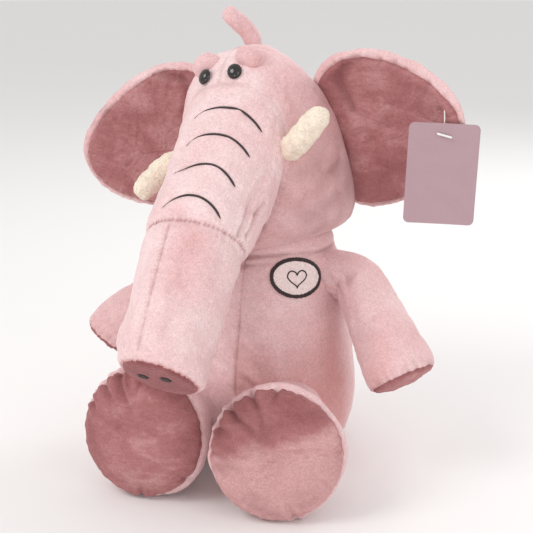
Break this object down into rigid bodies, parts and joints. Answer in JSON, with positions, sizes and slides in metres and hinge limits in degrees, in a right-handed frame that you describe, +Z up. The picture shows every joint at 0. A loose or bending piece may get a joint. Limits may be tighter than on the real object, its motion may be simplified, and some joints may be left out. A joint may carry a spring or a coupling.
{
  "type": "stuffed elephant",
  "caption": "Seated plush elephant with a thick trunk, broad lined ears, soft tusks, stubby limbs with contrast pads, a chest patch and a hang tag.",
  "frame": {"origin": "centre of the flat sitting base, on the surface that the elephant sits on", "axes": "+Z up, -Y towards the front, +X towards the elephant's own left side"},
  "size_m": [0.3706, 0.3109, 0.3621],
  "materials": {
    "card": "matte card",
    "embroidery": "satin stitch",
    "eye_plastic": "gloss",
    "filling": "polyester fibre",
    "fleece": "fleece",
    "mauve_pile": "long plush pile",
    "nylon": "translucent",
    "patch_felt": "felt",
    "skin_pile": "short plush pile",
    "washer_plastic": "satin"
  },
  "bodies": {
    "arm_left": {"arm_filling_left": "filling", "arm_skin_left": "skin_pile", "hand_pad_left": "mauve_pile"},
    "arm_right": {"arm_filling_right": "filling", "arm_skin_right": "skin_pile", "hand_pad_right": "mauve_pile"},
    "torso": {"body_base_panel": "skin_pile", "body_filling": "filling", "body_skin_left": "skin_pile", "body_skin_right": "skin_pile", "patch_border_stitching": "embroidery", "patch_felt": "patch_felt", "patch_motif_stitching": "embroidery"},
    "head": {"brow_bump_left": "skin_pile", "brow_bump_right": "skin_pile", "eye_left": "eye_plastic", "eye_right": "eye_plastic", "eye_washer_left": "washer_plastic", "eye_washer_right": "washer_plastic", "head_filling": "filling", "head_skin_left": "skin_pile", "head_skin_right": "skin_pile", "muzzle_skin": "skin_pile", "wrinkle_stitching_1": "embroidery", "wrinkle_stitching_2": "embroidery", "wrinkle_stitching_3": "embroidery", "wrinkle_stitching_4": "embroidery"},
    "ear_left": {"ear_back_left": "skin_pile", "ear_lining_left": "mauve_pile"},
    "ear_right": {"ear_back_right": "skin_pile", "ear_lining_right": "mauve_pile"},
    "hair_tuft": {"hair_tuft": "skin_pile"},
    "leg_left": {"leg_filling_left": "filling", "leg_skin_left": "skin_pile", "sole_pad_left": "mauve_pile"},
    "leg_right": {"leg_filling_right": "filling", "leg_skin_right": "skin_pile", "sole_pad_right": "mauve_pile"},
    "trunk": {"nostril_left": "embroidery", "nostril_right": "embroidery", "trunk_filling": "filling", "trunk_skin_left": "skin_pile", "trunk_skin_right": "skin_pile", "trunk_tip_pad": "mauve_pile"},
    "tag": {"tag_card": "card", "tag_fastener": "nylon"},
    "tail": {"tail": "skin_pile"},
    "tusk_left": {"tusk_left": "fleece"},
    "tusk_right": {"tusk_right": "fleece"}
  },
  "joints": [
    {"name": "head_turn", "type": "hinge", "parent": "torso", "child": "head", "pos_m": [0, 0, 0.18], "axis": [0, 0, 1], "range_deg": [-18, 18], "stiffness_Nm_per_rad": 0.6},
    {"name": "trunk_lift", "type": "hinge", "parent": "head", "child": "trunk", "pos_m": [-0.0124, -0.12514, 0.19712], "axis": [-0.9758, 0.0682, -0.2079], "range_deg": [-8, 18], "stiffness_Nm_per_rad": 0.6},
    {"name": "ear_flap_left", "type": "hinge", "parent": "head", "child": "ear_left", "pos_m": [0.05225, 0.02341, 0.2623], "axis": [0.3362, -0.0525, -0.9403], "range_deg": [-15, 18], "stiffness_Nm_per_rad": 0.2},
    {"name": "ear_flap_right", "type": "hinge", "parent": "head", "child": "ear_right", "pos_m": [-0.08126, 0.03275, 0.25225], "axis": [-0.0705, 0.0339, 0.9969], "range_deg": [-15, 18], "stiffness_Nm_per_rad": 0.2},
    {"name": "tusk_bend_left", "type": "hinge", "parent": "head", "child": "tusk_left", "pos_m": [0.03901, -0.05258, 0.26471], "axis": [0.2074, -0.0145, -0.9781], "range_deg": [-12, 12], "stiffness_Nm_per_rad": 0.03},
    {"name": "tusk_bend_right", "type": "hinge", "parent": "head", "child": "tusk_right", "pos_m": [-0.07664, -0.04449, 0.24007], "axis": [-0.2074, 0.0145, 0.9781], "range_deg": [-12, 12], "stiffness_Nm_per_rad": 0.03},
    {"name": "tuft_bend", "type": "hinge", "parent": "head", "child": "hair_tuft", "pos_m": [-0.02925, 0.02009, 0.3335], "axis": [-0.9758, 0.0682, -0.2079], "range_deg": [-20, 20], "stiffness_Nm_per_rad": 0.03},
    {"name": "arm_swing_left", "type": "hinge", "parent": "torso", "child": "arm_left", "pos_m": [0.0725, 0, 0.148], "axis": [-1, 0, 0], "range_deg": [-40, 50], "stiffness_Nm_per_rad": 0.5},
    {"name": "arm_swing_right", "type": "hinge", "parent": "torso", "child": "arm_right", "pos_m": [-0.0725, 0, 0.148], "axis": [-1, 0, 0], "range_deg": [-40, 50], "stiffness_Nm_per_rad": 0.5},
    {"name": "leg_swing_left", "type": "hinge", "parent": "torso", "child": "leg_left", "pos_m": [0.045, -0.088, 0.0412], "axis": [-0.9455, -0.3256, 0], "range_deg": [-30, 40], "stiffness_Nm_per_rad": 0.8},
    {"name": "leg_swing_right", "type": "hinge", "parent": "torso", "child": "leg_right", "pos_m": [-0.047, -0.087, 0.0412], "axis": [-0.9986, -0.0523, 0], "range_deg": [-30, 40], "stiffness_Nm_per_rad": 0.8},
    {"name": "tail_wag", "type": "hinge", "parent": "torso", "child": "tail", "pos_m": [0, 0.072, 0.066], "axis": [0, 1, 0], "range_deg": [-30, 30]},
    {"name": "tag_swing", "type": "hinge", "parent": "ear_left", "child": "tag", "pos_m": [0.14199, -0.00321, 0.29161], "axis": [0.342, -0.9397, 0], "range_deg": [-30, 30]}
  ]
}
